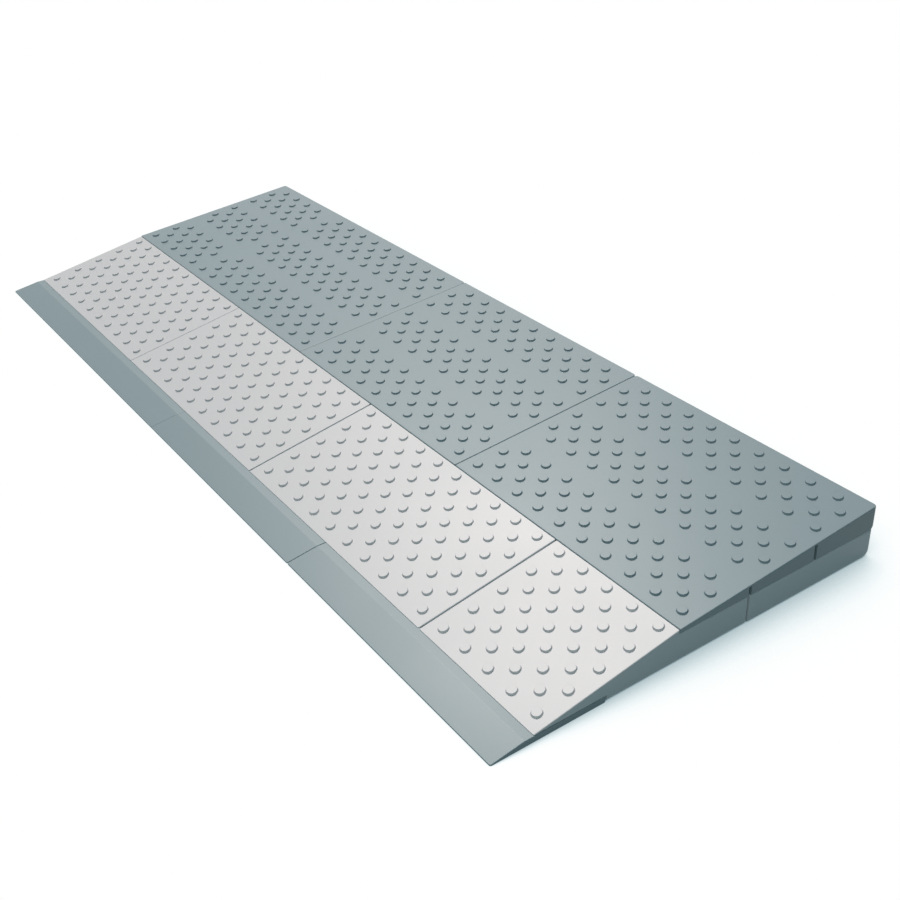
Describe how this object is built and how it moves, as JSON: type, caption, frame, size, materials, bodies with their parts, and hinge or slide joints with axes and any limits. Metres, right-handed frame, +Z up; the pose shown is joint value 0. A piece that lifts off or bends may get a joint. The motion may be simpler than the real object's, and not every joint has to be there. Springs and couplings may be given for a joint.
{
  "type": "threshold ramp",
  "caption": "Modular threshold ramp: studded plastic wedge modules in brick bond on two layers, grey above a pale contrast row, with a thin front lip.",
  "frame": {"origin": "on the floor, under the middle of the ramp's bounding box", "axes": "+X along the width, +Y from the front tip up the slope to the threshold, +Z up"},
  "size_m": [0.8396, 0.324, 0.041],
  "materials": {
    "grey_plastic": "matt moulded",
    "pale_plastic": "matt moulded",
    "dark_plastic": "satin moulded"
  },
  "bodies": {
    "ramp": {"lip_1": "grey_plastic", "lip_2": "grey_plastic", "lip_3": "grey_plastic", "lip_4": "grey_plastic", "front_wedge_1": "pale_plastic", "front_wedge_2": "pale_plastic", "front_wedge_3": "pale_plastic", "front_wedge_4": "pale_plastic", "base_block_1": "pale_plastic", "base_block_2": "pale_plastic", "base_block_3": "pale_plastic", "base_block_4": "pale_plastic", "top_wedge_1": "grey_plastic", "top_wedge_2": "grey_plastic", "top_wedge_3": "grey_plastic", "top_wedge_4": "grey_plastic", "lip_pegs": "dark_plastic", "layer_pegs": "dark_plastic"},
    "turn_lock_1": {"turn_lock_1": "dark_plastic"},
    "turn_lock_2": {"turn_lock_2": "dark_plastic"},
    "turn_lock_3": {"turn_lock_3": "dark_plastic"},
    "turn_lock_4": {"turn_lock_4": "dark_plastic"},
    "turn_lock_5": {"turn_lock_5": "dark_plastic"},
    "turn_lock_6": {"turn_lock_6": "dark_plastic"},
    "turn_lock_7": {"turn_lock_7": "dark_plastic"}
  },
  "joints": [
    {"name": "turn_lock_1_turn", "type": "hinge", "parent": "ramp", "child": "turn_lock_1", "pos_m": [-0.36, 0.132, 0.0198], "axis": [0, 0, 1], "range_deg": [0, 90]},
    {"name": "turn_lock_2_turn", "type": "hinge", "parent": "ramp", "child": "turn_lock_2", "pos_m": [-0.24, 0.132, 0.0198], "axis": [0, 0, 1], "range_deg": [0, 90]},
    {"name": "turn_lock_3_turn", "type": "hinge", "parent": "ramp", "child": "turn_lock_3", "pos_m": [-0.12, 0.132, 0.0198], "axis": [0, 0, 1], "range_deg": [0, 90]},
    {"name": "turn_lock_4_turn", "type": "hinge", "parent": "ramp", "child": "turn_lock_4", "pos_m": [0, 0.132, 0.0198], "axis": [0, 0, 1], "range_deg": [0, 90]},
    {"name": "turn_lock_5_turn", "type": "hinge", "parent": "ramp", "child": "turn_lock_5", "pos_m": [0.12, 0.132, 0.0198], "axis": [0, 0, 1], "range_deg": [0, 90]},
    {"name": "turn_lock_6_turn", "type": "hinge", "parent": "ramp", "child": "turn_lock_6", "pos_m": [0.24, 0.132, 0.0198], "axis": [0, 0, 1], "range_deg": [0, 90]},
    {"name": "turn_lock_7_turn", "type": "hinge", "parent": "ramp", "child": "turn_lock_7", "pos_m": [0.36, 0.132, 0.0198], "axis": [0, 0, 1], "range_deg": [0, 90]}
  ]
}
